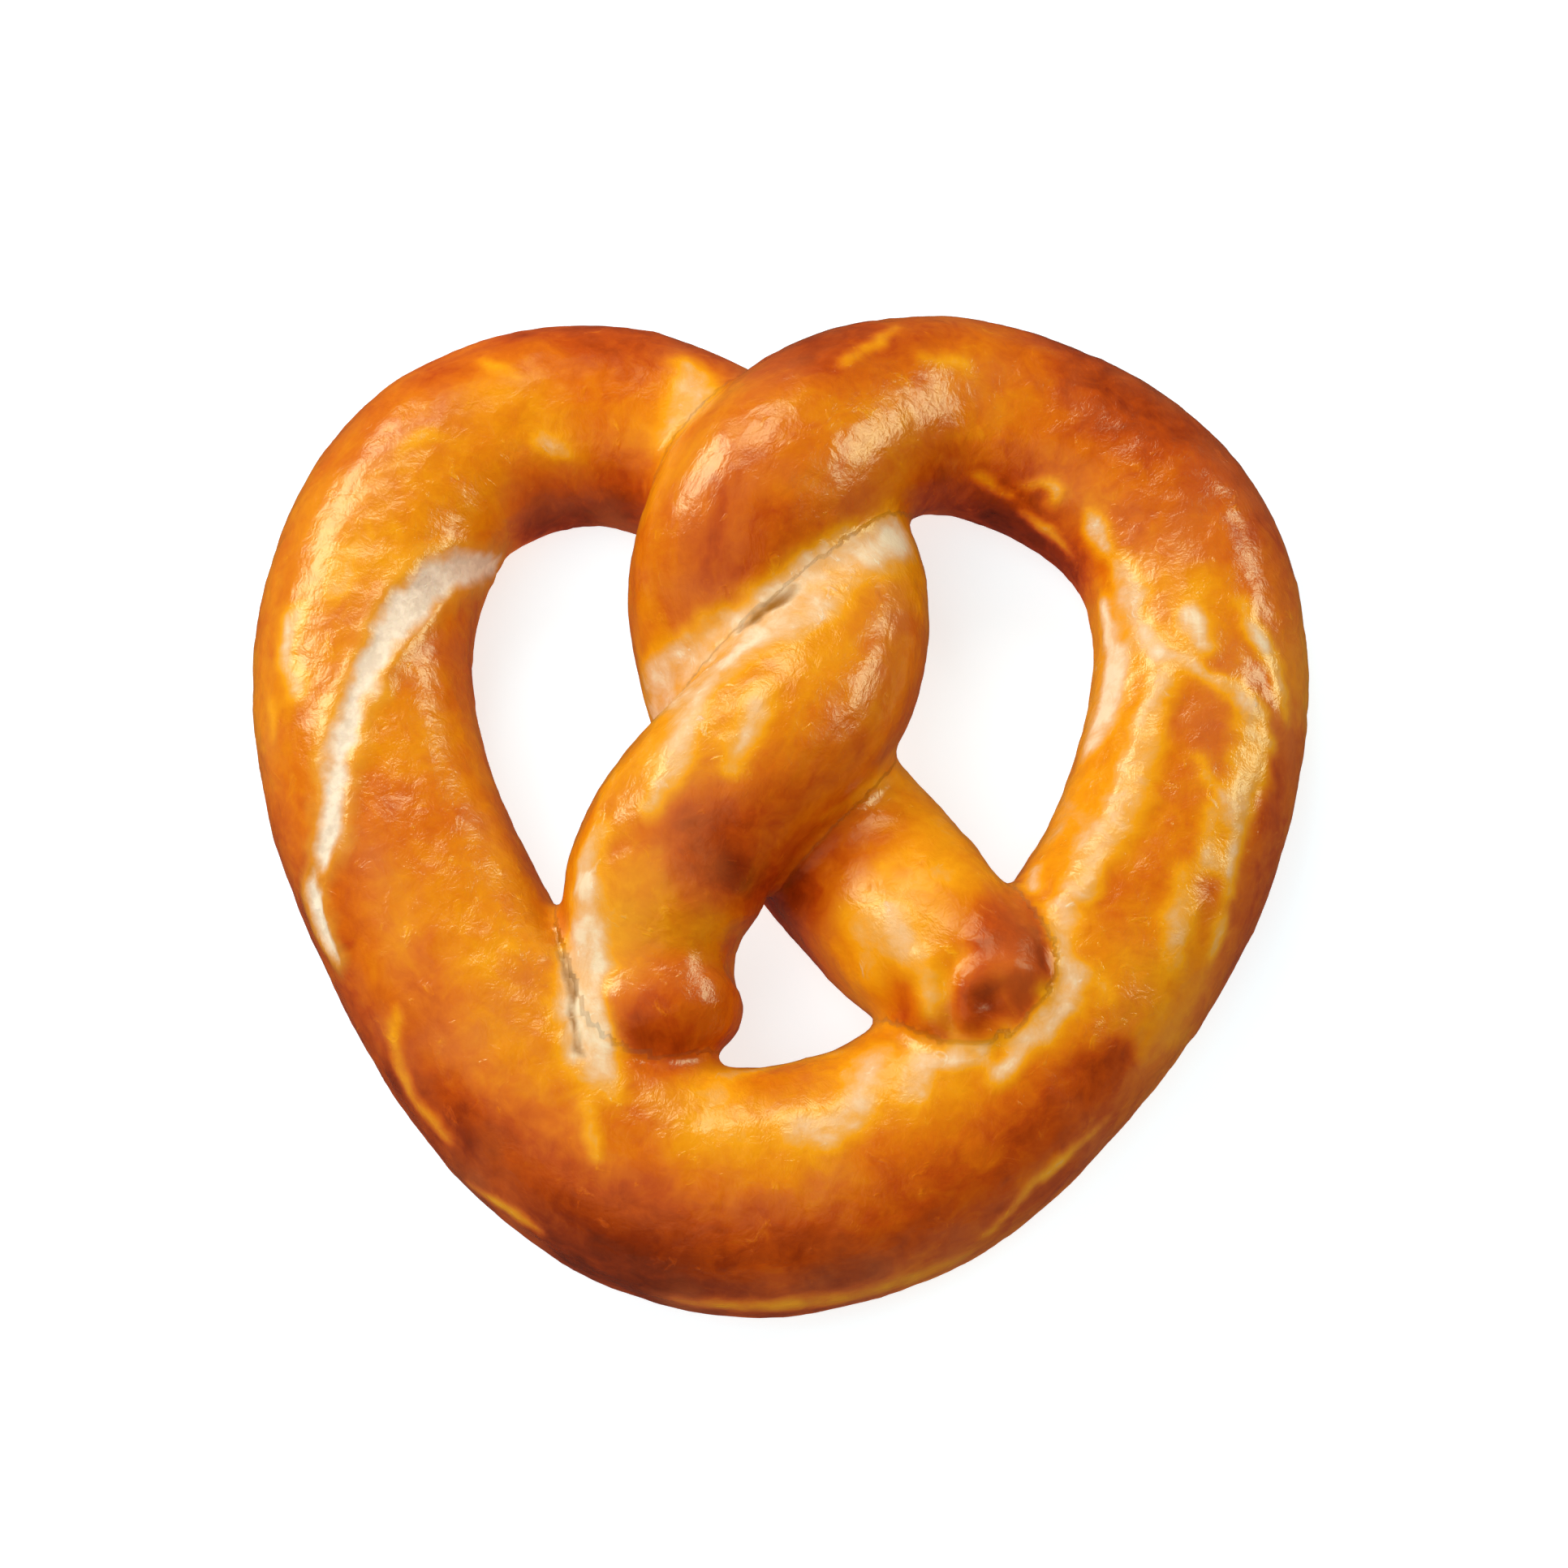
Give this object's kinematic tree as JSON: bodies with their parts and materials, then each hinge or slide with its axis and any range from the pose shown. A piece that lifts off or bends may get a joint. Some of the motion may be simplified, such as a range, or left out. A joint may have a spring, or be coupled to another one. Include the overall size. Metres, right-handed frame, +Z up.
{
  "type": "soft pretzel",
  "caption": "Baked soft pretzel: one dough rope with a thick belly, slim arms wound once round each other and both ends laid back on the belly.",
  "frame": {"origin": "on the flat underside, under the middle of the pretzel's box", "axes": "+Z up out of the tray it lies on, -Y towards the thick belly, +Y towards the two lobes"},
  "size_m": [0.1414, 0.1384, 0.0352],
  "materials": {
    "crust": "glossy golden to red-brown baked crust with paler splits"
  },
  "bodies": {
    "root": {"pretzel": "crust"}
  },
  "joints": []
}
